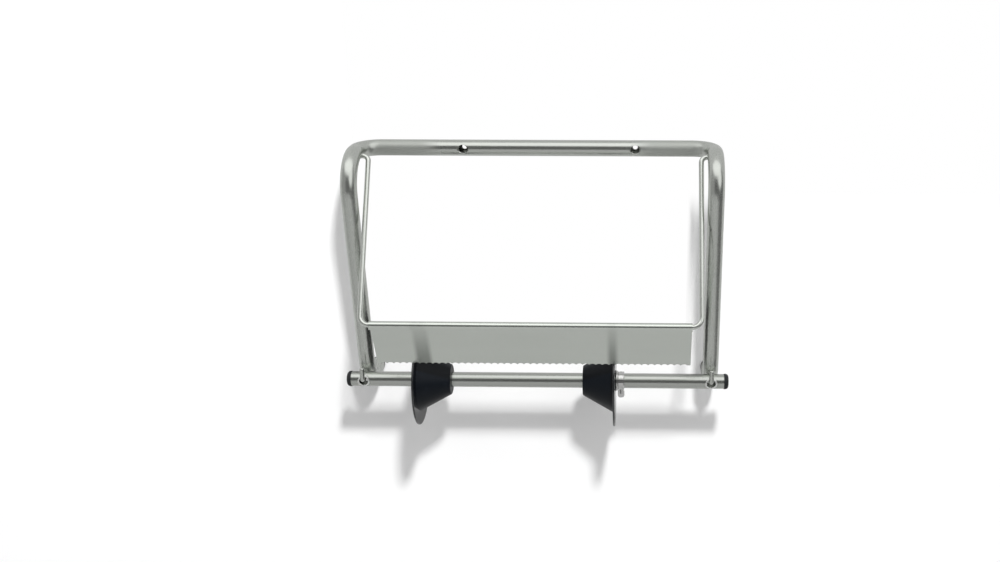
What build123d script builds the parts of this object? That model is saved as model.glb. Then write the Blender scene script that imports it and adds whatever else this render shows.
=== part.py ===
from build123d import *
from math import cos, radians, sin, sqrt
import os

# A wall-hung paper roll dispenser: one bent steel tube carries a cross bar with
# two roll cones on hooks, and a swinging wire frame with a toothed tear plate.
# Millimetres. The wall is the plane Y = 0, the room is towards -Y, +Z is up, and
# the origin is midway between the two wall holes.

# The tube frame
tube_d = 16.0
tube_wall = 1.5
arm_spacing = 352.0
frame_offset = -12.5
top_reach = 64.0
foot_reach = 34.0
foot_drop = 236.0
corner_bend = 22.0
shoulder_bend = 32.0
foot_bend = 25.0

# The two wall holes through the top tube
wall_hole_spacing = 171.0
wall_hole_d = 5.0
driver_hole_d = 8.4
driver_hole_flare = 1.4

# The rubber plugs of the two feet
plug_head = 3.0
plug_spigot = 9.0
fit_play = 0.05

# The cross bar and the hooks that carry it
bar_d = 15.0
bar_wall = 1.2
bar_overhang = 13.0
bar_gap = 0.5
hook_drop = 226.9
hook_d = 4.8
hook_hole_d = 9.0
hook_gap = 0.3
hook_seat_gap = 0.1
hook_bend = 3.2
hook_rise = 14.0
hook_root = 9.0
cap_head = 4.6
cap_lip = 0.35
cap_dome = 3.2

# The roll cones, their flange discs and what holds them along the bar
left_cone_place = 118.0
right_cone_place = 77.4
flange_d = 92.0
flange_thickness = 2.0
flange_rim_round = 0.7
cone_length = 31.0
cone_base_d = 64.0
cone_tip_d = 30.0
cone_wall = 2.4
cone_hub_wall = 3.0
spigot_proud = 0.4
running_gap = 0.08
side_gap = 0.3
ring_d = 19.2
ring_width = 2.2
press_play = 0.02
washer_d = 20.4
washer_width = 1.6
collar_d = 18.8
collar_width = 6.5
collar_slit = 1.4
collar_groove_place = 1.9
collar_groove_width = 0.7
collar_groove_depth = 0.7
screw_d = 3.0
screw_tab_width = 7.0
screw_tab_height = 8.5
screw_tab_thickness = 2.0

# The swinging wire frame and the tear plate
wire_d = 5.0
wire_spacing = 325.0
wire_length = 167.2
wire_top_bend = 5.5
wire_corner_bend = 9.0
wire_end = 3.0
pivot_reach = 27.0
pivot_drop = 3.0
wire_lean = 29.5
plate_thickness = 1.2
plate_lip = 3.0
plate_bend = 53.6
plate_rest_gap = 0.3
tooth_pitch = 6.4
tooth_cutter_d = 7.2
tooth_depth = 1.4

# Sizes worked out from the ones above
tube_r = tube_d / 2
bar_r = bar_d / 2
hook_r = hook_d / 2
wire_r = wire_d / 2
plate_width = wire_spacing - 2 * wire_corner_bend
flange_r = flange_d / 2
arm_x = [frame_offset - arm_spacing / 2, frame_offset + arm_spacing / 2]
bar_length = arm_spacing + 2 * bar_overhang
bar_reach = foot_reach + tube_r + bar_gap + bar_r
bar_drop = hook_drop + hook_hole_d / 2 - hook_r - hook_seat_gap
hub_bore_r = bar_r + running_gap
hub_r = hub_bore_r + cone_hub_wall
spigot_length = flange_thickness + spigot_proud
left_flange_x = frame_offset - left_cone_place
right_flange_x = frame_offset + right_cone_place
sides = {"left": -1, "right": 1}


def at(x, forward, down):
    """A point by its place across, out from the top tube's axis and below it."""
    return Vector(x, -tube_r - forward, -down)


def side_plane(x, forward=0.0, down=0.0):
    """The upright plane at x, with its own x pointing forward and its y down."""
    return Plane(origin=at(x, forward, down), x_dir=(0, -1, 0), z_dir=(1, 0, 0))


def bar_plane(x, direction):
    """A plane through the bar's axis, its own x along the bar and its y upwards."""
    middle = at(x, bar_reach, bar_drop)
    return Plane(origin=middle, x_dir=(direction, 0, 0), z_dir=(0, -direction, 0))


def bar_section(x):
    """The plane across the bar at x."""
    return side_plane(x, bar_reach, bar_drop)


bar_axis = Axis(at(frame_offset, bar_reach, bar_drop), (1, 0, 0))

os.makedirs("parts", exist_ok=True)


def save(builder, name):
    """Labels a finished piece and writes it under its own name."""
    builder.part.label = name
    export_step(builder.part, f"parts/{name}.step")


# The frame is one tube, bent out of the wall plane, down and back to the wall.
foot_end = -tube_r + plug_head
frame_points = [
    at(arm_x[0], foot_end, foot_drop),
    at(arm_x[0], foot_reach, foot_drop),
    at(arm_x[0], top_reach, 0),
    at(arm_x[0], 0, 0),
    at(arm_x[1], 0, 0),
    at(arm_x[1], top_reach, 0),
    at(arm_x[1], foot_reach, foot_drop),
    at(arm_x[1], foot_end, foot_drop),
]
half_bends = [foot_bend, shoulder_bend, corner_bend]
with BuildPart() as frame_tube:
    with BuildLine() as frame_path:
        FilletPolyline(*frame_points, radius=half_bends + half_bends[::-1])
    with BuildSketch(Plane(origin=frame_path.line @ 0, z_dir=frame_path.line % 0)):
        Circle(tube_r)
        Circle(tube_r - tube_wall, mode=Mode.SUBTRACT)
    sweep()
    # Each wall hole is small at the back and opens at the front for the driver.
    hole_plane = Plane(origin=at(0, 0, 0), x_dir=(1, 0, 0), z_dir=(0, 1, 0))
    with BuildSketch(hole_plane):
        with GridLocations(wall_hole_spacing, 1, 2, 1):
            Circle(wall_hole_d / 2)
    extrude(amount=tube_d, mode=Mode.SUBTRACT)
    with BuildSketch(hole_plane):
        with GridLocations(wall_hole_spacing, 1, 2, 1):
            Circle(driver_hole_d / 2)
    extrude(amount=-tube_d, mode=Mode.SUBTRACT)
    flare_plane = hole_plane.offset(driver_hole_flare / 2 - tube_r)
    with Locations(flare_plane):
        with GridLocations(wall_hole_spacing, 1, 2, 1):
            flare_r = driver_hole_d / 2 + driver_hole_flare
            Cone(flare_r, driver_hole_d / 2, driver_hole_flare, mode=Mode.SUBTRACT)
    for x, side in zip(arm_x, sides.values()):
        # The wire frame turns in a hole in the inner wall of each shoulder.
        inner_edge = x - side * (tube_r + 1)
        with BuildSketch(side_plane(inner_edge, pivot_reach, pivot_drop)):
            Circle(wire_r + running_gap)
        extrude(amount=side * (tube_r - 1), mode=Mode.SUBTRACT)
        # The hook rod is welded into a hole in the front wall of each foot.
        hook_start = at(x, foot_reach, hook_drop)
        with BuildSketch(Plane(origin=hook_start, z_dir=(0, -1, 0))):
            Circle(hook_r)
        extrude(amount=tube_d, mode=Mode.SUBTRACT)
save(frame_tube, "frame_tube")

# Each hook rod runs out through the bar and turns up in front of it.
hook_front = bar_reach + bar_r + hook_gap + hook_r
hook_back = bar_reach - bar_r - hook_root
for x, name in zip(arm_x, sides):
    with BuildPart() as hook_rod:
        with BuildLine() as hook_path:
            FilletPolyline(
                at(x, hook_back, hook_drop),
                at(x, hook_front, hook_drop),
                at(x, hook_front, hook_drop - hook_rise),
                radius=hook_bend,
            )
        with BuildSketch(Plane(origin=hook_path.line @ 0, z_dir=hook_path.line % 0)):
            Circle(hook_r)
        sweep()
        hook_tip = hook_rod.edges().filter_by(GeomType.CIRCLE).group_by(Axis.Z)[-1]
        fillet(hook_tip, hook_r * 0.8)
    save(hook_rod, f"{name}_hook_rod")

# A black plug closes each foot and stands against the wall.
for x, name in zip(arm_x, sides):
    with BuildPart() as foot_plug:
        with BuildSketch(Plane(origin=at(x, foot_end, foot_drop), z_dir=(0, 1, 0))):
            Circle(tube_r)
        extrude(amount=plug_head)
        with BuildSketch(Plane(origin=at(x, foot_end, foot_drop), z_dir=(0, -1, 0))):
            Circle(tube_r - tube_wall - fit_play)
            Circle(tube_r - 2 * tube_wall - fit_play, mode=Mode.SUBTRACT)
        extrude(amount=plug_spigot)
        wall_rim = foot_plug.edges().group_by(Axis.Y)[-1]
        chamfer(wall_rim, plug_head / 4)
    save(foot_plug, f"{name}_foot_plug")

# The cross bar is a tube with a hole near each end for its hook.
with BuildPart() as cross_bar:
    with BuildSketch(bar_section(frame_offset)):
        Circle(bar_r)
        Circle(bar_r - bar_wall, mode=Mode.SUBTRACT)
    extrude(amount=bar_length / 2, both=True)
    with BuildSketch(bar_plane(frame_offset, 1)):
        with GridLocations(arm_spacing, 1, 2, 1):
            Circle(hook_hole_d / 2)
    extrude(amount=bar_d, both=True, mode=Mode.SUBTRACT)
save(cross_bar, "cross_bar")

# A domed black cap closes each end of the bar.
for name, side in sides.items():
    end_x = frame_offset + side * bar_length / 2
    with BuildPart() as bar_cap:
        with BuildSketch(bar_section(end_x)):
            Circle(bar_r + cap_lip)
        extrude(amount=side * cap_head)
        dome_edge = bar_cap.edges().sort_by(Axis.X)[-1 if side > 0 else 0]
        fillet(dome_edge, cap_dome)
        with BuildSketch(bar_section(end_x)):
            Circle(bar_r - bar_wall - fit_play)
        extrude(amount=-side * cap_head)
    save(bar_cap, f"{name}_bar_cap")


def make_cone(flange_x, direction, name):
    """A hollow moulded cone with a hub that runs on the bar; its tip faces inwards."""
    wall_across = cone_wall * 1.15
    with BuildPart() as cone:
        with BuildSketch(bar_plane(flange_x, direction)):
            with BuildLine():
                Polyline(
                    (-spigot_length, hub_bore_r),
                    (-spigot_length, hub_r),
                    (cone_length - cone_wall, hub_r),
                    (cone_length - cone_wall, cone_tip_d / 2 - wall_across),
                    (0, cone_base_d / 2 - wall_across),
                    (0, cone_base_d / 2),
                    (cone_length, cone_tip_d / 2),
                    (cone_length, hub_bore_r),
                    close=True,
                )
            make_face()
        revolve(axis=bar_axis)
        tip = cone.edges().filter_by(GeomType.CIRCLE).group_by(Axis.X)
        tip_rim = tip[-1 if direction > 0 else 0].sort_by(SortBy.RADIUS)[-1]
        fillet(tip_rim, cone_wall / 2)
    save(cone, f"{name}_cone")


def make_flange(flange_x, direction, name):
    """A thin disc on the cone's spigot that the roll's end runs against."""
    with BuildPart() as flange:
        with BuildSketch(bar_section(flange_x)):
            Circle(flange_r)
            Circle(hub_r + fit_play, mode=Mode.SUBTRACT)
        extrude(amount=-direction * flange_thickness)
        outer_rims = flange.edges().filter_by(GeomType.CIRCLE).sort_by(SortBy.RADIUS)[-2:]
        fillet(outer_rims, flange_rim_round)
    save(flange, f"{name}_flange_disc")


make_cone(left_flange_x, 1, "left")
make_flange(left_flange_x, 1, "left")
make_cone(right_flange_x, -1, "right")
make_flange(right_flange_x, -1, "right")

# A plain steel ring pressed on the bar stops the left cone.
left_ring_x = left_flange_x - spigot_length - side_gap
with BuildPart() as stop_ring:
    with BuildSketch(bar_section(left_ring_x)):
        Circle(ring_d / 2)
        Circle(bar_r + press_play, mode=Mode.SUBTRACT)
    extrude(amount=-ring_width)
    ring_rims = stop_ring.edges().filter_by(GeomType.CIRCLE).sort_by(SortBy.RADIUS)[-2:]
    chamfer(ring_rims, ring_width / 5)
save(stop_ring, "left_stop_ring")

# On the right a washer and a clamp collar with a flat-headed screw hold the cone.
washer_x = right_flange_x + spigot_length + side_gap
with BuildPart() as washer:
    with BuildSketch(bar_section(washer_x)):
        Circle(washer_d / 2)
        Circle(hub_bore_r, mode=Mode.SUBTRACT)
    extrude(amount=washer_width)
    washer_rims = washer.edges().filter_by(GeomType.CIRCLE).sort_by(SortBy.RADIUS)[-2:]
    chamfer(washer_rims, washer_width / 5)
save(washer, "right_washer")

collar_x = washer_x + washer_width + collar_width / 2
with BuildPart() as collar:
    with BuildSketch(bar_section(collar_x)):
        Circle(collar_d / 2)
        Circle(hub_bore_r, mode=Mode.SUBTRACT)
    extrude(amount=collar_width / 2, both=True)
    collar_rims = collar.edges().filter_by(GeomType.CIRCLE).sort_by(SortBy.RADIUS)[-2:]
    chamfer(collar_rims, collar_width / 10)
    # Two turned grooves run round the collar.
    for groove_x in (collar_x - collar_groove_place, collar_x + collar_groove_place):
        with BuildSketch(bar_section(groove_x)):
            Circle(collar_d / 2)
            Circle(collar_d / 2 - collar_groove_depth, mode=Mode.SUBTRACT)
        extrude(amount=collar_groove_width / 2, both=True, mode=Mode.SUBTRACT)
    # A slit at the back lets the collar close on the bar.
    with BuildSketch(bar_section(collar_x)):
        with Locations((-collar_d / 2, 0)):
            Rectangle(collar_d, collar_slit)
    extrude(amount=collar_width, both=True, mode=Mode.SUBTRACT)
    collar_base = at(collar_x, bar_reach, bar_drop)
    with BuildSketch(Plane(origin=collar_base, z_dir=(0, 0, -1))):
        Circle(screw_d / 2 + running_gap)
    extrude(amount=collar_d, mode=Mode.SUBTRACT)
save(collar, "clamp_collar")

screw_start = bar_drop + bar_r + side_gap
tab_top = bar_drop + collar_d / 2 + side_gap
with BuildPart() as thumbscrew:
    screw_plane = Plane(origin=at(collar_x, bar_reach, screw_start), z_dir=(0, 0, -1))
    with BuildSketch(screw_plane):
        Circle(screw_d / 2)
    extrude(amount=tab_top - screw_start + screw_tab_height / 2)
    tab_top_point = at(collar_x, bar_reach, tab_top)
    tab_plane = Plane(origin=tab_top_point, x_dir=(1, 0, 0), z_dir=(0, -1, 0))
    with BuildSketch(tab_plane):
        with Locations((0, -screw_tab_height / 2)):
            RectangleRounded(screw_tab_width, screw_tab_height, screw_tab_width * 0.45)
    extrude(amount=screw_tab_thickness / 2, both=True)
save(thumbscrew, "collar_thumbscrew")

# The wire frame hangs from the shoulders and leans out over the discs.
lean_sin = sin(radians(wire_lean))
lean_cos = cos(radians(wire_lean))
pivot = at(frame_offset, pivot_reach, pivot_drop)
wire_normal = (0, -lean_cos, lean_sin)
wire_plane = Plane(origin=pivot, x_dir=(1, 0, 0), z_dir=wire_normal)
wire_x = wire_spacing / 2
wire_tip = arm_spacing / 2 - wire_end
with BuildPart() as tear_wire:
    with BuildLine(wire_plane) as wire_path:
        FilletPolyline(
            (-wire_tip, 0),
            (-wire_x, 0),
            (-wire_x, -wire_length),
            (wire_x, -wire_length),
            (wire_x, 0),
            (wire_tip, 0),
            radius=[wire_top_bend, wire_corner_bend, wire_corner_bend, wire_top_bend],
        )
    with BuildSketch(Plane(origin=wire_path.line @ 0, z_dir=wire_path.line % 0)):
        Circle(wire_r)
    sweep()
save(tear_wire, "tear_wire")

# The tear plate is one sheet, folded over the wire's lower run, with a row of teeth.
# It reaches down until the teeth stand just off the rims of the discs.
hem_forward = pivot_reach + wire_length * lean_sin
hem_down = pivot_drop + wire_length * lean_cos
hem_r = wire_r + fit_play + plate_thickness / 2
plate_slope = radians(wire_lean - plate_bend)
plate_dir = Vector(sin(plate_slope), cos(plate_slope))
plate_out = Vector(plate_dir.Y, -plate_dir.X)
back_face = plate_out * -(hem_r + plate_thickness / 2)
to_bar = Vector(bar_reach - hem_forward, bar_drop - hem_down) - back_face
teeth_to_bar = flange_r + plate_rest_gap
plate_height = to_bar.dot(plate_dir) - sqrt(teeth_to_bar**2 - to_bar.dot(plate_out) ** 2)
hem_plane = side_plane(frame_offset, hem_forward, hem_down)
plate_end = plate_dir * plate_height
with BuildPart() as tear_plate:
    with BuildSketch(hem_plane) as plate_profile:
        with BuildLine() as plate_line:
            Line(plate_out * -hem_r + plate_end, plate_out * -hem_r)
            ThreePointArc(plate_out * -hem_r, plate_dir * -hem_r, plate_out * hem_r)
            Line(plate_out * hem_r, plate_out * hem_r + plate_dir * plate_lip)
        trace(line_width=plate_thickness)
    extrude(amount=plate_width / 2, both=True)
    teeth_middle = plate_out * -hem_r + plate_end
    teeth_origin = hem_plane.from_local_coords(teeth_middle)
    teeth_normal = hem_plane.from_local_coords(plate_out) - hem_plane.origin
    teeth_plane = Plane(origin=teeth_origin, x_dir=(1, 0, 0), z_dir=teeth_normal)
    tooth_count = int(plate_width / tooth_pitch)
    cutter_rise = tooth_cutter_d / 2 - tooth_depth
    with BuildSketch(teeth_plane):
        with Locations((0, -cutter_rise)):
            with GridLocations(tooth_pitch, 1, tooth_count, 1):
                Circle(tooth_cutter_d / 2)
    extrude(amount=plate_thickness, both=True, mode=Mode.SUBTRACT)
save(tear_plate, "tear_plate")

print("tear plate height", round(plate_height, 2), "collar place", round(collar_x, 2))
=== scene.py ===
from math import cos, pi, sin

import bmesh
import bpy
from bpy.props import FloatProperty, FloatVectorProperty, IntProperty, PointerProperty
from bpy.types import Operator, Panel, PropertyGroup
from mathutils import Matrix, Vector


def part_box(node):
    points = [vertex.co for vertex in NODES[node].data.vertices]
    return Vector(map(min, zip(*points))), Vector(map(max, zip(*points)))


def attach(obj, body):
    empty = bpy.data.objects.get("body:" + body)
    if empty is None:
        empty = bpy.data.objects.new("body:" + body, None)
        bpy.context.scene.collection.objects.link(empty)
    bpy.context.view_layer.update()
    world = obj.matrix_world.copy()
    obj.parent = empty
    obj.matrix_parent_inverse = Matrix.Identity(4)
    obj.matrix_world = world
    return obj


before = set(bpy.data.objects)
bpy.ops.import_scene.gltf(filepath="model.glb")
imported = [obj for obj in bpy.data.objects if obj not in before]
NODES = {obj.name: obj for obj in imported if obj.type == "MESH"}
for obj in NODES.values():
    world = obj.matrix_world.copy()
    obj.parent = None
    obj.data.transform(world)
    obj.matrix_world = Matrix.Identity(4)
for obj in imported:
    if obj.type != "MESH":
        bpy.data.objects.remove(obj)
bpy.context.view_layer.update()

bl_info = {
    "name": "Paper Roll Dispenser",
    "version": (1, 0, 0),
    "blender": (4, 5, 0),
    "location": "View3D > Sidebar > Dispenser",
    "description": "Finishes, weld beads and studio for a wall-hung paper roll dispenser",
    "category": "Object",
}

TUBE_LOW, TUBE_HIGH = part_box("frame_tube")
PLATE_LOW, PLATE_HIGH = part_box("tear_plate")
TUBE_RADIUS = 0.008
HOLE_RADIUS = 0.0045
ARM_LEAN = -0.127  # metres along Y per metre of Z
WIRE_LEAN = 0.566
ARM_SPREAD = (TUBE_HIGH[0] - TUBE_LOW[0]) / 2 - TUBE_RADIUS
MIDDLE_X = (TUBE_HIGH[0] + TUBE_LOW[0]) / 2

GRAIN_ALONG, GRAIN_ACROSS = 45, 2600  # waves per metre
ARM_EDGE = (ARM_SPREAD - 0.022, ARM_SPREAD - 0.008)
SHOULDER_RUN = (-0.036, -0.018)  # heights where the tube runs along Y
HEEL_RUN = (-0.214, -0.229)
TOP_BENDS = (0.090, 0.118)
ARM_DULLNESS = 0.03
# A near-white ring painted round each hook hole, a painted highlight: its inner edge, outer
# edge, colour and added roughness.
HALO_START = (HOLE_RADIUS - 0.0002, HOLE_RADIUS)
HALO_END = (HOLE_RADIUS + 0.0018, HOLE_RADIUS + 0.0010)
HALO_COLOUR = (0.96, 0.97, 0.95)
HALO_DULLNESS = 0.35
# A soft dark streak painted above each disc, a painted reflection of the disc in the plate: its
# softness, overlap, width and colour.
REFLECTION_SOFTNESS = 0.003
REFLECTION_OVERLAP = 0.004
REFLECTION_WIDTH = 0.018
REFLECTION_COLOUR = (0.05, 0.06, 0.05)

WELD_STEPS = 72
WELD_SIDES = 12
WELD_WANDER = 0.04  # shares of the ring's and the bead's radius
WELD_SWELL = 0.16
WELD_DEPTH = 0.8

SHEET_REACH = 3  # how far the wall goes up, and wall and floor to each side
FLOOR_DEPTH = 4
WALL_GAP = 0.0004
# A field of the wall glowing pure white, painted light over the object's shadow: its edge,
# softness and upper band.
FIELD_EDGE = 0.008
FIELD_SOFTNESS = 0.01
FIELD_UPPER = (-0.085, -0.045)
DARK_FLANK = (0.7, 1.0)
CEILING_EDGE, CEILING_LEVEL = (0.56, 0.72), 1.2
PANEL_WAY, PANEL_EDGE = (0.643, -0.579, 0.500), (0.86, 0.95)
SIDE_EDGE, SIDE_LEVEL = (-0.3, -0.7), 0.25
ROOM_LEVEL = 0.15
WHITE = (1, 1, 1)


class Signal:
    """A value in a material; arithmetic on it adds the nodes that work it out."""

    def __init__(self, recipe, socket):
        self.recipe = recipe
        self.socket = socket

    def _math(self, operation, *values):
        return self.recipe.node(
            "ShaderNodeMath", {"operation": operation}, dict(enumerate(values))
        )

    def __add__(self, other):
        return self._math("ADD", self, other)

    def __sub__(self, other):
        return self._math("SUBTRACT", self, other)

    def __rsub__(self, other):
        return self._math("SUBTRACT", other, self)

    def __mul__(self, other):
        return self._math("MULTIPLY", self, other)

    def __abs__(self):
        return self._math("ABSOLUTE", self)

    __radd__ = __add__
    __rmul__ = __mul__


class Recipe:
    """The nodes of one material, world or lamp, made from Python expressions."""

    def __init__(self, owner):
        owner.use_nodes = True
        self.owner = owner
        self.tree = owner.node_tree
        self.tree.nodes.clear()

    def node(self, kind, settings=None, sockets=None, out=0):
        """Adds a node: its settings first, then the values or links of its sockets."""
        made = self.tree.nodes.new(kind)
        for key, value in (settings or {}).items():
            setattr(made, key, value)
        for key, value in (sockets or {}).items():
            socket = made.inputs[key]
            if isinstance(value, Signal):
                self.tree.links.new(value.socket, socket)
            elif hasattr(socket.default_value, "__len__"):
                whole = tuple(value)
                missing = len(socket.default_value) - len(whole)
                socket.default_value = whole + (1.0,) * missing
            else:
                socket.default_value = value
        return Signal(self, made.outputs[out]) if made.outputs else made

    def place(self):
        """The place on the piece in its own coordinates, in metres."""
        return self.node("ShaderNodeTexCoord", out=3)

    def along(self, axis):
        """One coordinate of the place, by its number."""
        return self.node("ShaderNodeSeparateXYZ", sockets={0: self.place()}, out=axis)

    def leaning_place(self, lean):
        """The place, with Y counted from a line that leans along Y by lean per metre of Z."""
        x, y, z = (self.along(axis) for axis in range(3))
        return self.node("ShaderNodeCombineXYZ", sockets={0: x, 1: y - z * lean, 2: z})

    def noise(self, stretch, detail=3.0, roughness=0.55, place=None):
        """Noise with that many waves per metre along X, Y and Z."""
        stretched = self.node(
            "ShaderNodeVectorMath", {"operation": "MULTIPLY"},
            {0: place or self.place(), 1: stretch},
        )
        return self.node("ShaderNodeTexNoise", sockets={
            "Vector": stretched, "Scale": 1.0, "Detail": detail, "Roughness": roughness,
        })

    def ramp(self, signal, low, high):
        """A soft step from 0 at low to 1 at high."""
        return self.node(
            "ShaderNodeMapRange",
            {"interpolation_type": "SMOOTHSTEP"},
            {"Value": signal, "From Min": low, "From Max": high},
        )

    def blend(self, factor, first, second):
        """One colour going over into another."""
        return self.node(
            "ShaderNodeMix", {"data_type": "RGBA"}, {0: factor, 6: first, 7: second}, out=2
        )

    def bump(self, height, distance, strength=1.0):
        """A normal that is raised by height times distance, in metres."""
        return self.node("ShaderNodeBump", sockets={
            "Height": height, "Distance": distance, "Strength": strength,
        })

    def surface(self, sockets):
        """Closes a material with one principled shader."""
        shader = self.node("ShaderNodeBsdfPrincipled", sockets=sockets)
        self.node("ShaderNodeOutputMaterial", sockets={"Surface": shader})
        return self.owner


def shade(share, colour):
    """A colour at a share of its brightness."""
    return tuple(channel * share for channel in colour)


def wear(recipe, streaks):
    """Slow smudges with the finish's own streaks in them, from 0 to 1."""
    smudges = recipe.noise((34, 34, 34), 2.0)
    return streaks * 0.6 + smudges * 0.4


def hook_holes():
    """The middles of the two holes through the bar."""
    low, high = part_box("cross_bar")
    for rod in ("left_hook_rod", "right_hook_rod"):
        left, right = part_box(rod)
        yield (left[0] + right[0]) / 2, 0, (low[2] + high[2]) / 2


def hole_halos(recipe, holes):
    """Rings round drilled holes, 1 on a painted highlight ring at each hole's edge and 0
    elsewhere.
    """
    flat = recipe.node("ShaderNodeCombineXYZ", sockets={0: recipe.along(0), 2: recipe.along(2)})
    rings = 0
    for hole in holes:
        away = recipe.node(
            "ShaderNodeVectorMath", {"operation": "DISTANCE"}, {0: flat, 1: hole}, out=1
        )
        rings = recipe.ramp(away, *HALO_START) * recipe.ramp(away, *HALO_END) + rings
    return rings


def satin_steel(finish, name, painted_light_share=1.0, lean=None, worked=False, holes=None):
    """Satin steel with its grain along X.

    With lean, the grain turns into arms of that lean. Worked turns it along Y in the
    shoulders and heels too, and dulls the tube beside its bends. A near-white ring is
    painted round holes, a painted highlight. The share lifts or lowers the whole colour
    as painted light.
    """
    recipe = Recipe(bpy.data.materials.new(name))
    level = recipe.noise((GRAIN_ALONG, GRAIN_ACROSS, GRAIN_ACROSS), 2.0)
    rough = finish.roughness - finish.roughness_spread / 2
    if lean is not None:
        aside = abs(recipe.along(0) - MIDDLE_X)
        arms = recipe.ramp(aside, *ARM_EDGE)
        upright = recipe.noise(
            (GRAIN_ACROSS, GRAIN_ACROSS, GRAIN_ALONG), 2.0, place=recipe.leaning_place(lean)
        )
        if worked:
            z = recipe.along(2)
            level_run = recipe.ramp(z, *SHOULDER_RUN) + recipe.ramp(z, *HEEL_RUN)
            outward = recipe.noise((GRAIN_ACROSS, GRAIN_ALONG, GRAIN_ACROSS), 2.0)
            upright = upright * (1 - level_run) + outward * level_run
            bends = recipe.ramp(aside, *TOP_BENDS) * finish.bend_dullness
            rough = bends + arms * (ARM_DULLNESS - finish.bend_dullness) + rough
        level = level * (1 - arms) + upright * arms
    worn = wear(recipe, level)
    # Its share brightens the colour as a painted highlight above 1 and darkens it as painted
    # shade below 1.
    metal = recipe.blend(
        worn, shade(0.93 * painted_light_share, finish.colour), shade(1.05 * painted_light_share, finish.colour)
    )
    if holes is not None:
        # A painted highlight ring round each hole.
        ground = hole_halos(recipe, holes)
        metal = recipe.blend(ground, metal, HALO_COLOUR)
        rough = ground * HALO_DULLNESS + rough
    return recipe.surface({
        "Base Color": metal,
        "Metallic": 1.0,
        "Roughness": worn * finish.roughness_spread + rough,
        "Normal": recipe.bump(level, 0.000002, 0.5),
    })


def disc_reflection(recipe, left, right):
    """A soft dark streak painted above the place where a disc meets the plate's teeth, a
    painted reflection of the disc, darker towards the teeth and on the front face only.
    """
    x, z = recipe.along(0), recipe.along(2)
    streak = recipe.ramp(x, left - REFLECTION_SOFTNESS, left + REFLECTION_SOFTNESS)
    streak = streak * (1 - recipe.ramp(x, right - REFLECTION_SOFTNESS, right + REFLECTION_SOFTNESS))
    height = recipe.ramp(z, PLATE_HIGH[2], PLATE_LOW[2])
    normal = recipe.node("ShaderNodeTexCoord", out=1)
    forward = recipe.node("ShaderNodeSeparateXYZ", sockets={0: normal}, out=1)
    return streak * (height * 0.5 + 0.08) * recipe.ramp(forward, 0.2, -0.2)


def brushed_plate(finish):
    """Sheet steel with a straight brushed grain and two dark streaks painted above the discs,
    as painted reflections of them.
    """
    recipe = Recipe(bpy.data.materials.new("brushed_plate"))
    grain = recipe.noise((28, GRAIN_ACROSS, GRAIN_ACROSS), 3.0, 0.6)
    clouds = recipe.noise((9, 40, 40), 2.0)
    worn = grain * 0.5 + clouds * 0.5
    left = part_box("left_flange_disc")[1][0]
    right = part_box("right_flange_disc")[0][0]
    # Dark streaks above the discs, painted reflections of the discs.
    dark = disc_reflection(recipe, left + REFLECTION_OVERLAP, left + REFLECTION_WIDTH)
    dark = dark + disc_reflection(recipe, right - REFLECTION_OVERLAP, right + REFLECTION_OVERLAP)
    metal = recipe.blend(worn, shade(0.92, finish.colour), shade(1.06, finish.colour))
    return recipe.surface({
        "Base Color": recipe.blend(dark, metal, REFLECTION_COLOUR),
        "Metallic": 1.0,
        "Roughness": worn * 0.12 + (finish.roughness - 0.06),
        "Normal": recipe.bump(grain, 0.00003, 1.0),
    })


def bright_steel(finish):
    """Turned and polished small steel parts, with fine rings from the lathe."""
    recipe = Recipe(bpy.data.materials.new("bright_steel"))
    rings = recipe.noise((5200, 60, 60), 1.0)
    worn = wear(recipe, rings)
    return recipe.surface({
        "Base Color": recipe.blend(worn, shade(0.92, finish.colour), finish.colour),
        "Metallic": 1.0,
        "Roughness": worn * 0.12 + (finish.roughness - 0.06),
        "Normal": recipe.bump(rings, 0.000003, 0.4),
    })


def weld_steel(finish):
    """A cleaned weld, darker and rougher than the rod that it holds."""
    recipe = Recipe(bpy.data.materials.new("weld_steel"))
    scale = recipe.noise((900, 900, 900), 4.0)
    dark, light = shade(0.55, finish.colour), shade(0.95, finish.colour)
    return recipe.surface({
        "Base Color": recipe.blend(scale, dark, light),
        "Metallic": 1.0,
        "Roughness": scale * 0.2 + 0.3,
        "Normal": recipe.bump(scale, 0.00006, 0.6),
    })


def moulded_plastic(name, colour, roughness, grit, bending):
    """Black moulded plastic with a faint grit and a few lighter rub marks."""
    recipe = Recipe(bpy.data.materials.new(name))
    grain = recipe.noise((2200, 2200, 2200), 2.0)
    rub = recipe.noise((60, 60, 60), 5.0, 0.7)
    marks = recipe.ramp(rub, 0.56, 0.74)
    return recipe.surface({
        "Base Color": recipe.blend(marks, colour, tuple(c * 1.5 + 0.002 for c in colour)),
        "Roughness": marks * 0.08 + grain * 0.05 + (roughness - 0.03),
        "IOR": bending,
        "Normal": recipe.bump(grain, grit, 0.6),
    })


def paint(material, *names):
    """Puts one material on CAD nodes."""
    for name in names:
        slots = NODES[name].data.materials
        slots.clear()
        slots.append(material)


def new_piece(name, mesh, material, body):
    """Adds a mesh, smoothed, as a piece of one body."""
    piece = bpy.data.objects.new(name, mesh)
    bpy.context.scene.collection.objects.link(piece)
    mesh.materials.append(material)
    for face in mesh.polygons:
        face.use_smooth = True
    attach(piece, body)


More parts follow.
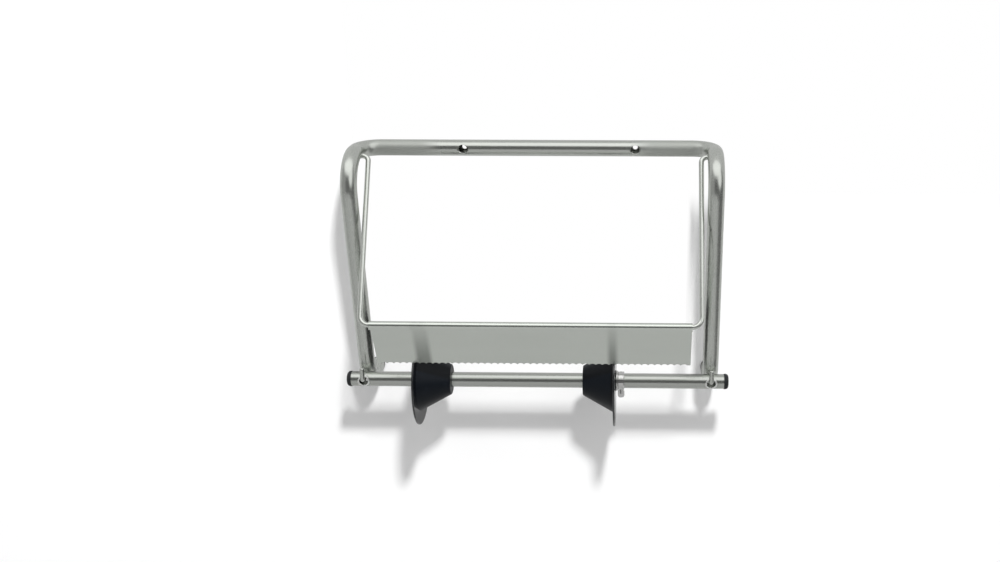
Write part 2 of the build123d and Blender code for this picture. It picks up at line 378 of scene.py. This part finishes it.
class SteelFinish(PropertyGroup):
    """Colour and polish of the steel pieces"""

    colour: FloatVectorProperty(
        name="Satin steel", description="Colour of the tube, bar, rods and wire",
        subtype="COLOR", size=3, default=(0.58, 0.60, 0.565), min=0, max=1,
    )
    roughness: FloatProperty(
        name="Roughness", description="How dull the satin steel is", default=0.24, min=0, max=1,
    )
    roughness_spread: FloatProperty(
        name="Roughness spread", description="How much the polish varies",
        default=0.10, min=0, max=0.4,
    )
    bend_dullness: FloatProperty(
        name="Bend dullness", description="How much duller the tube is beside its bends",
        default=0.36, min=0, max=0.5,
    )


class PlateFinish(PropertyGroup):
    """Colour and brushing of the tear plate"""

    colour: FloatVectorProperty(
        name="Plate steel", description="Colour of the tear plate",
        subtype="COLOR", size=3, default=(0.70, 0.735, 0.685), min=0, max=1,
    )
    roughness: FloatProperty(
        name="Roughness", description="How dull the brushed plate is",
        default=0.19, min=0, max=1,
    )


class HardwareFinish(PropertyGroup):
    """Colour and polish of the ring, washer, collar and thumbscrew"""

    colour: FloatVectorProperty(
        name="Bright steel", description="Colour of the small turned parts",
        subtype="COLOR", size=3, default=(0.66, 0.66, 0.65), min=0, max=1,
    )
    roughness: FloatProperty(
        name="Roughness", description="How dull the turned parts are",
        default=0.11, min=0, max=1,
    )


class PlasticFinish(PropertyGroup):
    """Colours of the moulded plastic pieces"""

    cone: FloatVectorProperty(
        name="Cones", description="Colour of the roll cones",
        subtype="COLOR", size=3, default=(0.0025, 0.0040, 0.0065), min=0, max=1,
    )
    disc: FloatVectorProperty(
        name="Discs", description="Colour of the flange discs",
        subtype="COLOR", size=3, default=(0.004, 0.005, 0.007), min=0, max=1,
    )
    cap: FloatVectorProperty(
        name="Caps", description="Colour of the bar caps and foot plugs",
        subtype="COLOR", size=3, default=(0.008, 0.009, 0.010), min=0, max=1,
    )


class WeldSize(PropertyGroup):
    """Sizes of the weld round each hook rod"""

    ring: FloatProperty(
        name="Ring radius", description="Radius of the weld's middle line round the rod",
        default=0.0027, unit="LENGTH",
    )
    bead: FloatProperty(
        name="Bead radius", description="Half of the weld's thickness",
        default=0.00075, unit="LENGTH",
    )
    ripples: IntProperty(
        name="Ripples", description="Number of ripples round the rod",
        subtype="UNSIGNED", default=14, min=3,
    )


class StudioSetup(PropertyGroup):
    """Camera and light of the photograph"""

    eye: FloatVectorProperty(
        name="Camera place", description="Where the camera stands",
        subtype="TRANSLATION", size=3, default=(0.0926, -1.1510, 0.2364),
    )
    yaw: FloatProperty(
        name="Yaw", description="Turn of the camera to the right",
        subtype="ANGLE", default=-0.02035,
    )
    pitch: FloatProperty(
        name="Pitch", description="Tilt of the camera downwards",
        subtype="ANGLE", default=0.31721,
    )
    lens: FloatProperty(
        name="Lens", description="Focal length in millimetres on a 36 mm sensor", default=41.99,
    )
    shift: FloatProperty(
        name="Shift", description="Sideways shift of the lens, in frame widths", default=-0.119,
    )
    key_place: FloatVectorProperty(
        name="Key place", description="Where the key light stands",
        subtype="TRANSLATION", size=3, default=(0.33, -1.26, 1.27),
    )
    key_strength: FloatProperty(
        name="Key strength", description="Irradiance of the key light", default=3.2, min=0,
    )
    key_radius: FloatProperty(
        name="Key radius", description="Radius of the key light", default=0.088, unit="LENGTH",
    )
    # A wall field glowing pure white, painted light that hides the object's shadow there.
    clean: FloatVectorProperty(
        name="Shadowless field", description="Left, right and lower edge of the wall kept white",
        subtype="XYZ_LENGTH", size=3, default=(-0.200, 0.138, -0.205),
    )
    floor_drop: FloatProperty(
        name="Floor", description="How far the floor lies below the wall holes",
        default=0.75, unit="LENGTH",
    )


class DispenserSettings(PropertyGroup):
    """All settings of the dispenser"""

    steel: PointerProperty(type=SteelFinish, name="Steel", description="Tube, bar and wire")
    plate: PointerProperty(type=PlateFinish, name="Plate", description="Tear plate")
    hardware: PointerProperty(
        type=HardwareFinish, name="Hardware", description="Ring, washer, collar and thumbscrew",
    )
    plastic: PointerProperty(
        type=PlasticFinish, name="Plastic", description="Cones, discs, caps and plugs",
    )
    weld: PointerProperty(type=WeldSize, name="Welds", description="Welds at the hook rods")
    studio: PointerProperty(type=StudioSetup, name="Studio", description="Camera and light")


class DISPENSER_OT_tube_frame(Operator):
    """Finishes the bent tube, the cross bar, the hook rods and the wire frame"""

    bl_idname = "dispenser.tube_frame"
    bl_label = "Tube Frame and Bar"

    def execute(self, context):
        steel = context.scene.dispenser.steel
        paint(satin_steel(steel, "satin_tube", lean=ARM_LEAN, worked=True), "frame_tube")
        # The wire is painted brighter, a painted highlight, and the bar darker, painted shade.
        paint(satin_steel(steel, "satin_wire", painted_light_share=1.2, lean=WIRE_LEAN), "tear_wire")
        paint(satin_steel(steel, "satin_bar", painted_light_share=0.88, holes=hook_holes()), "cross_bar")
        paint(satin_steel(steel, "satin_rod", lean=0.0), "left_hook_rod", "right_hook_rod")
        return {"FINISHED"}


class DISPENSER_OT_tear_plate(Operator):
    """Finishes the tear plate"""

    bl_idname = "dispenser.tear_plate"
    bl_label = "Tear Plate"

    def execute(self, context):
        paint(brushed_plate(context.scene.dispenser.plate), "tear_plate")
        return {"FINISHED"}


class DISPENSER_OT_hardware(Operator):
    """Finishes the ring, washer, clamp collar and thumbscrew"""

    bl_idname = "dispenser.hardware"
    bl_label = "Ring, Collar and Screw"

    def execute(self, context):
        bright = bright_steel(context.scene.dispenser.hardware)
        paint(bright, "left_stop_ring", "right_washer", "clamp_collar", "collar_thumbscrew")
        return {"FINISHED"}


class DISPENSER_OT_roll_cones(Operator):
    """Finishes the roll cones and their discs"""

    bl_idname = "dispenser.roll_cones"
    bl_label = "Roll Cones and Discs"

    def execute(self, context):
        plastic = context.scene.dispenser.plastic
        cone = moulded_plastic(
            "cone_plastic", tuple(plastic.cone), roughness=0.40, grit=0.00004, bending=1.28
        )
        disc = moulded_plastic(
            "disc_plastic", tuple(plastic.disc), roughness=0.08, grit=0.000004, bending=1.8
        )
        paint(cone, "left_cone", "right_cone")
        paint(disc, "left_flange_disc", "right_flange_disc")
        return {"FINISHED"}


class DISPENSER_OT_caps(Operator):
    """Finishes the bar's end caps and the foot plugs"""

    bl_idname = "dispenser.caps"
    bl_label = "Caps and Plugs"

    def execute(self, context):
        plastic = context.scene.dispenser.plastic
        rubber = moulded_plastic(
            "cap_plastic", tuple(plastic.cap), roughness=0.55, grit=0.00003, bending=1.42
        )
        paint(rubber, "left_bar_cap", "right_bar_cap", "left_foot_plug", "right_foot_plug")
        return {"FINISHED"}


class DISPENSER_OT_hook_welds(Operator):
    """Lays a rippled weld round each hook rod where it leaves the tube"""

    bl_idname = "dispenser.hook_welds"
    bl_label = "Hook Welds"

    def execute(self, context):
        settings = context.scene.dispenser
        weld = settings.weld
        tube = NODES["frame_tube"]
        steel = weld_steel(settings.steel)
        for side in ("left", "right"):
            low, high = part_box(f"{side}_hook_rod")
            centre = Vector(((low[0] + high[0]) / 2, 0, low[2] + (high[0] - low[0]) / 2))
            line = []
            for step in range(WELD_STEPS):
                turn = 2 * pi * step / WELD_STEPS
                reach = weld.ring * (1 + WELD_WANDER * sin(3 * turn + 0.7))
                across = Vector((reach * cos(turn), 0, reach * sin(turn)))
                start = centre + across + Vector((0, low[1], 0))
                found, point, _normal, _face = tube.ray_cast(start, Vector((0, 1, 0)))
                if not found:
                    raise RuntimeError(f"the {side} weld found no tube behind its rod")
                line.append((point, across.normalized(), turn))
            shape = bmesh.new()
            rings = []
            for point, outward, turn in line:
                swell = weld.bead * (1 + WELD_SWELL * abs(sin(weld.ripples * turn / 2)))
                ring = []
                for k in range(WELD_SIDES):
                    angle = 2 * pi * k / WELD_SIDES
                    away = outward * cos(angle) + Vector((0, 1, 0)) * sin(angle) * WELD_DEPTH
                    ring.append(shape.verts.new(point + away * swell))
                rings.append(ring)
            for i, ring in enumerate(rings):
                after = rings[(i + 1) % len(rings)]
                for k in range(WELD_SIDES):
                    corner = (k + 1) % WELD_SIDES
                    shape.faces.new((ring[k], ring[corner], after[corner], after[k]))
            bmesh.ops.recalc_face_normals(shape, faces=shape.faces)
            mesh = bpy.data.meshes.new(f"{side}_hook_weld")
            shape.to_mesh(mesh)
            shape.free()
            new_piece(f"{side}_hook_weld", mesh, steel, "frame")
        return {"FINISHED"}


def stage_sheet(name, corners, material):
    """One flat sheet of the studio, from its corners."""
    mesh = bpy.data.meshes.new(name)
    mesh.from_pydata(corners, [], [(0, 1, 2, 3)])
    mesh.materials.append(material)
    sheet = bpy.data.objects.new(name, mesh)
    bpy.context.scene.collection.objects.link(sheet)


def stage_material(name, seen_glow, true_white, glossy_share, clean=None):
    """White with the object's shadow to the camera, grey and dark at the right to the rest.

    Shadowless field gives the left, right and lower edge of a field that glows pure white
    over the object's shadow, painted light, and makes the sheet one-sided.
    """
    recipe = Recipe(bpy.data.materials.new(name))
    camera_ray = recipe.node("ShaderNodeLightPath", out=0)
    mirrored = recipe.node("ShaderNodeLightPath", out=3)
    through_glass = recipe.node("ShaderNodeLightPath", out=6)
    shown = recipe.node("ShaderNodeBsdfDiffuse", sockets={"Color": (0.8,) * 3})
    glow = recipe.node("ShaderNodeEmission", sockets={"Color": WHITE, "Strength": seen_glow})
    shown = recipe.node("ShaderNodeAddShader", sockets={0: shown, 1: glow})
    if clean is not None:
        left, right, low = clean
        x, z = recipe.along(0), recipe.along(2)
        inside = recipe.ramp(x, left - FIELD_EDGE, left)
        lower = inside * (1 - recipe.ramp(x, right, right + FIELD_EDGE))
        lower = lower * recipe.ramp(z, low - FIELD_SOFTNESS, low + FIELD_SOFTNESS)
        upper = inside * recipe.ramp(z, *FIELD_UPPER)
        field = recipe.node("ShaderNodeMath", {"operation": "MAXIMUM"}, {0: lower, 1: upper})
        # Pure white glow over the object's shadow inside the field, painted light.
        white = recipe.node("ShaderNodeEmission", sockets={"Color": WHITE, "Strength": 1.0})
        shown = recipe.node("ShaderNodeMixShader", sockets={0: field, 1: shown, 2: white})
    plain = recipe.node("ShaderNodeBsdfDiffuse", sockets={"Color": (true_white,) * 3})
    black = recipe.node("ShaderNodeBsdfDiffuse", sockets={"Color": (0.05,) * 3})
    flank = recipe.ramp(recipe.along(0), *DARK_FLANK)
    plain = recipe.node("ShaderNodeMixShader", sockets={0: flank, 1: plain, 2: black})
    seen = camera_ray + (mirrored + through_glass) * glossy_share
    mixed = recipe.node("ShaderNodeMixShader", sockets={0: seen, 1: plain, 2: shown})
    if clean is not None:
        back = recipe.node("ShaderNodeNewGeometry", out=6)
        clear = recipe.node("ShaderNodeBsdfTransparent")
        mixed = recipe.node("ShaderNodeMixShader", sockets={0: back, 1: mixed, 2: clear})
    recipe.node("ShaderNodeOutputMaterial", sockets={"Surface": mixed})
    return recipe.owner


class DISPENSER_OT_studio(Operator):
    """Sets the wall, the floor, the light and the camera"""

    bl_idname = "dispenser.studio"
    bl_label = "Studio"

    def execute(self, context):
        scene = context.scene
        studio = scene.dispenser.studio
        low, top, wide = -studio.floor_drop, SHEET_REACH, SHEET_REACH
        back, front = WALL_GAP, -FLOOR_DEPTH
        wall = stage_material(
            "wall_paint", seen_glow=0.14, true_white=0.34, glossy_share=0.40,
            clean=tuple(studio.clean),
        )
        stage_sheet(
            "studio_wall",
            [(-wide, back, low), (wide, back, low), (wide, back, top), (-wide, back, top)],
            wall,
        )
        ground = stage_material(
            "floor_paint", seen_glow=0.16, true_white=0.28, glossy_share=0.08
        )
        stage_sheet(
            "studio_floor",
            [(-wide, back, low), (-wide, front, low), (wide, front, low), (wide, back, low)],
            ground,
        )

        world = bpy.data.worlds.new("studio_room")
        scene.world = world
        recipe = Recipe(world)
        way = recipe.node("ShaderNodeTexCoord", out=0)
        across = recipe.node("ShaderNodeSeparateXYZ", sockets={0: way}, out=0)
        height = recipe.node("ShaderNodeSeparateXYZ", sockets={0: way}, out=2)
        beside = recipe.node(
            "ShaderNodeVectorMath", {"operation": "DOT_PRODUCT"},
            {0: way, 1: PANEL_WAY}, out=1,
        )
        ceiling = recipe.ramp(height, *CEILING_EDGE) * CEILING_LEVEL
        panel = recipe.ramp(beside, *PANEL_EDGE)
        side = recipe.ramp(across, *SIDE_EDGE) * SIDE_LEVEL
        level = recipe.node(
            "ShaderNodeMath", {"operation": "MAXIMUM"}, {0: ceiling, 1: panel + side}
        ) + ROOM_LEVEL
        room = recipe.node("ShaderNodeCombineColor", sockets={0: level, 1: level, 2: level})
        seen = recipe.node("ShaderNodeLightPath", out=0)
        colour = recipe.blend(seen, room, WHITE)
        glow = recipe.node("ShaderNodeBackground", sockets={"Color": colour, "Strength": 1.0})
        recipe.node("ShaderNodeOutputWorld", sockets={"Surface": glow})

        lamp = bpy.data.lights.new("key_light", "POINT")
        lamp.energy = 4 * pi * studio.key_strength
        lamp.shadow_soft_size = studio.key_radius
        recipe = Recipe(lamp)
        even = recipe.node("ShaderNodeLightFalloff", sockets={"Strength": 1.0}, out=2)
        shine = recipe.node("ShaderNodeEmission", sockets={"Strength": even})
        recipe.node("ShaderNodeOutputLight", sockets={"Surface": shine})
        key = bpy.data.objects.new("key_light", lamp)
        key.location = studio.key_place
        key.visible_glossy = False
        scene.collection.objects.link(key)

        lens = bpy.data.cameras.new("photo_camera")
        lens.lens = studio.lens
        lens.sensor_width = 36.0
        lens.shift_x = studio.shift
        lens.clip_start = 0.01
        camera = bpy.data.objects.new("photo_camera", lens)
        ahead = Vector((
            sin(studio.yaw) * cos(studio.pitch),
            cos(studio.yaw) * cos(studio.pitch),
            -sin(studio.pitch),
        ))
        right = Vector((cos(studio.yaw), -sin(studio.yaw), 0))
        up = right.cross(ahead)
        turn = Matrix((right, up, -ahead)).transposed().to_4x4()
        camera.matrix_world = Matrix.Translation(studio.eye) @ turn
        scene.collection.objects.link(camera)
        scene.camera = camera
        scene.view_settings.view_transform = "Standard"
        return {"FINISHED"}


class DISPENSER_PT_panel(Panel):
    """The dispenser's steps and settings in the sidebar"""

    bl_label = "Paper Roll Dispenser"
    bl_idname = "DISPENSER_PT_panel"
    bl_space_type = "VIEW_3D"
    bl_region_type = "UI"
    bl_category = "Dispenser"

    def draw(self, context):
        settings = context.scene.dispenser
        for operator in STEPS:
            self.layout.operator(operator.bl_idname)
        for group in (settings.steel, settings.plate, settings.hardware,
                      settings.plastic, settings.weld, settings.studio):
            box = self.layout.box()
            for name in group.__annotations__:
                box.prop(group, name)


STEPS = (
    DISPENSER_OT_tube_frame,
    DISPENSER_OT_tear_plate,
    DISPENSER_OT_hardware,
    DISPENSER_OT_roll_cones,
    DISPENSER_OT_caps,
    DISPENSER_OT_hook_welds,
    DISPENSER_OT_studio,
)
CLASSES = (
    SteelFinish,
    PlateFinish,
    HardwareFinish,
    PlasticFinish,
    WeldSize,
    StudioSetup,
    DispenserSettings,
    *STEPS,
    DISPENSER_PT_panel,
)


def register():
    """Adds the classes and the settings to the scene."""
    for cls in CLASSES:
        bpy.utils.register_class(cls)
    bpy.types.Scene.dispenser = PointerProperty(type=DispenserSettings)


def unregister():
    """Takes the settings and the classes away again."""
    del bpy.types.Scene.dispenser
    for cls in reversed(CLASSES):
        bpy.utils.unregister_class(cls)


def main():
    """Runs every step."""
    register()
    bpy.ops.dispenser.tube_frame()
    bpy.ops.dispenser.tear_plate()
    bpy.ops.dispenser.hardware()
    bpy.ops.dispenser.roll_cones()
    bpy.ops.dispenser.caps()
    bpy.ops.dispenser.hook_welds()
    bpy.ops.dispenser.studio()
    bpy.context.view_layer.update()


if __name__ == "__main__":
    main()
